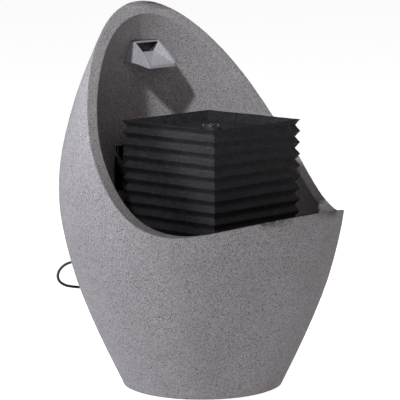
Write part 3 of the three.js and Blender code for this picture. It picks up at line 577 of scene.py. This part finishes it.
def column_grid():
    """Square column: a saw-tooth profile of [half side, height] carried round a square, then worn.

    Up the outside the half side swings between valley and tip once each pitch, with a blunt tip;
    over the rim it falls down the dish's side to its floor. Every point is then pushed by smooth
    random heights of three sizes, so edges chip and faces ripple as cast stone does.
    """
    blunt = [[TIP - 0.5, -0.7], [TIP - 0.1, -0.25], [TIP - 0.1, 0.25], [TIP - 0.5, 0.7]]
    line = [[FOOT - 0.5, COLUMN_BASE], [VALLEY, COLUMN_BASE]]
    for i in range(RIBS - 1, 0, -1):
        z = RIM_Z - i * RIB_PITCH
        line += [[h, z + dz] for h, dz in blunt] + [[VALLEY, z + RIB_PITCH / 2]]
    line += [[TIP - 0.5, RIM_Z - 0.8], [TIP - 0.1, RIM_Z - 0.3], [TIP - 0.3, RIM_Z],
             [TIP - RIM_LAND, RIM_Z], [TIP - RIM_LAND - 0.4, RIM_Z - 0.3],
             [TIP - RIM_LAND - DISH_SLOPE, DISH_FLOOR + 0.4],
             [TIP - RIM_LAND - DISH_SLOPE - 0.8, DISH_FLOOR], [30, DISH_FLOOR], [3.4, DISH_FLOOR]]
    line = np.array(line)
    gap = np.linalg.norm(np.diff(line, axis=0), axis=1)
    rows = np.vstack([np.linspace(a, b, max(1, round(g / 2.2)), endpoint=False)
                      for a, b, g in zip(line, line[1:], gap)] + [line[-1:]])
    t = np.linspace(0, 1, 60, endpoint=False)
    corner = np.array([[-1, -1], [1, -1], [1, 1], [-1, 1], [-1, -1]], float)
    loop = np.vstack([a + (b - a) * t[:, None] for a, b in zip(corner, corner[1:])])
    grid = np.empty((len(rows), len(loop), 3))
    grid[..., :2] = rows[:, None, :1] * loop
    grid[..., 1] += CENTRE_Y
    grid[..., 2] = rows[:, None, 1]
    rough = [0.26 * grain(grid, 2.6, k) + 0.22 * grain(grid, 7.0, k + 5)
             + 0.25 * grain(grid, 24.0, k + 9) for k in (1, 2, 3)]
    return grid + np.stack([rough[0], rough[1], 0.7 * rough[2]], -1) * 0.85


column_ribs = skin("slate_column", column_grid(), SLATE, wrap_v=True, sharp=70)
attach(column_ribs, "column_body")
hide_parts("column")


def inside_or_foot(c):
    """True for faces of the column that the ribbed surface doesn't stand for."""
    out = max(abs(c.x), abs(c.y - CENTRE_Y))
    under = abs(c.z - COLUMN_BASE) < 0.2 and out > FOOT - 3
    return out < VALLEY - 0.3 and c.z < DISH_FLOOR - 0.1 and not under


finished("slate_foot", ["column"], SLATE, 30, keep=inside_or_foot)


# ---------------------------------------------------------------- strain relief
def gland_grid():
    """Gland turned about the lead: flange on the shell, then a tapering tail cut by ring grooves."""
    line = [[1.75, -17], [4.2, -17], [4.2, -0.7], [6.3, -0.7], [6.6, -0.4], [6.6, 0.9], [6.3, 1.25],
            [4.0, 1.4], [3.7, 1.9]]
    for k in range(6):
        h, r = 3.4 + 2.9 * k, 3.55 - 0.17 * k
        line += [[r, h - 0.2], [r - 0.15, h], [r - 0.75, h + 0.05], [r - 0.75, h + 0.9],
                 [r - 0.2, h + 0.95], [r - 0.03, h + 1.15]]
    line += [[2.45, 21.2], [2.2, 21.9], [1.75, 22.0]]
    return lathe(line, 40, GLAND, GLAND_OUT)


gland = skin("lead_gland", gland_grid(), RUBBER, wrap_u=True, wrap_v=True, sharp=38)
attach(gland, "base")
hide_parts("cord_gland")


# ---------------------------------------------------------------- floor and light
def floor():
    """Pale plain floor: a square sheet far wider than the view, just under the feet."""
    f = Finish("studio_floor", roughness=0.9, Specular_IOR_Level=0.1,
               Emission_Color=(1, 1, 1, 1), Emission_Strength=0.82)
    f.colour(f.blend(f.band(f.noise(900, 2, 0.5), 0.3, 0.7), paint("#f2f2f2"), paint("#f6f6f5")))
    side = np.linspace(-20000, 20000, 3)
    x, y = np.meshgrid(side, side, indexing="ij")
    sheet = skin("studio_floor", np.stack([x, y, np.full_like(x, -0.2)], -1), f.material)


def aimed(name, data, towards, target, distance):
    """Hangs a light distance metres from target (mm) in the direction towards, facing it."""
    lamp = bpy.data.objects.new(name, data)
    way = Vector(towards).normalized()
    lamp.location = Vector(target) * MM + way * distance
    lamp.rotation_euler = way.to_track_quat("Z", "Y").to_euler()
    bpy.context.collection.objects.link(lamp)


def area_light(name, towards, target, distance, size, power, tint):
    """Square soft light with sides of size metres."""
    data = bpy.data.lights.new(name, "AREA")
    data.shape, data.size, data.energy, data.color = "SQUARE", size, power, tint
    aimed(name, data, towards, target, distance)


def spot_light(name, towards, target, distance, radius, power, tint, angle, soft):
    """Round light with a soft-edged cone of angle degrees."""
    data = bpy.data.lights.new(name, "SPOT")
    data.energy, data.color, data.shadow_soft_size = power, tint, radius
    data.spot_size, data.spot_blend = math.radians(angle), soft
    aimed(name, data, towards, target, distance)


floor()
world = bpy.data.worlds.new("studio")
bpy.context.scene.world = world
world.use_nodes = True
air = world.node_tree.nodes["Background"].inputs
air["Color"].default_value, air["Strength"].default_value = (1.0, 0.975, 0.965, 1), 0.14
spot_light("key", (-0.80, -0.33, 0.60), (20, 40, 345), 2.6, 0.08, 540, (0.97, 1.0, 0.98), 11, 1.0)
area_light("side", (-0.86, 0.50, 0.34), (-60, 40, 200), 2.4, 0.9, 76, (0.95, 0.97, 1.0))
area_light("front", (-0.55, -0.80, 0.35), (0, 0, 160), 3.0, 1.2, 30, (1.0, 0.92, 0.87))
area_light("right", (0.50, -0.86, 0.10), (0, 0, 160), 2.6, 1.0, 2, (1.0, 0.55, 0.42))
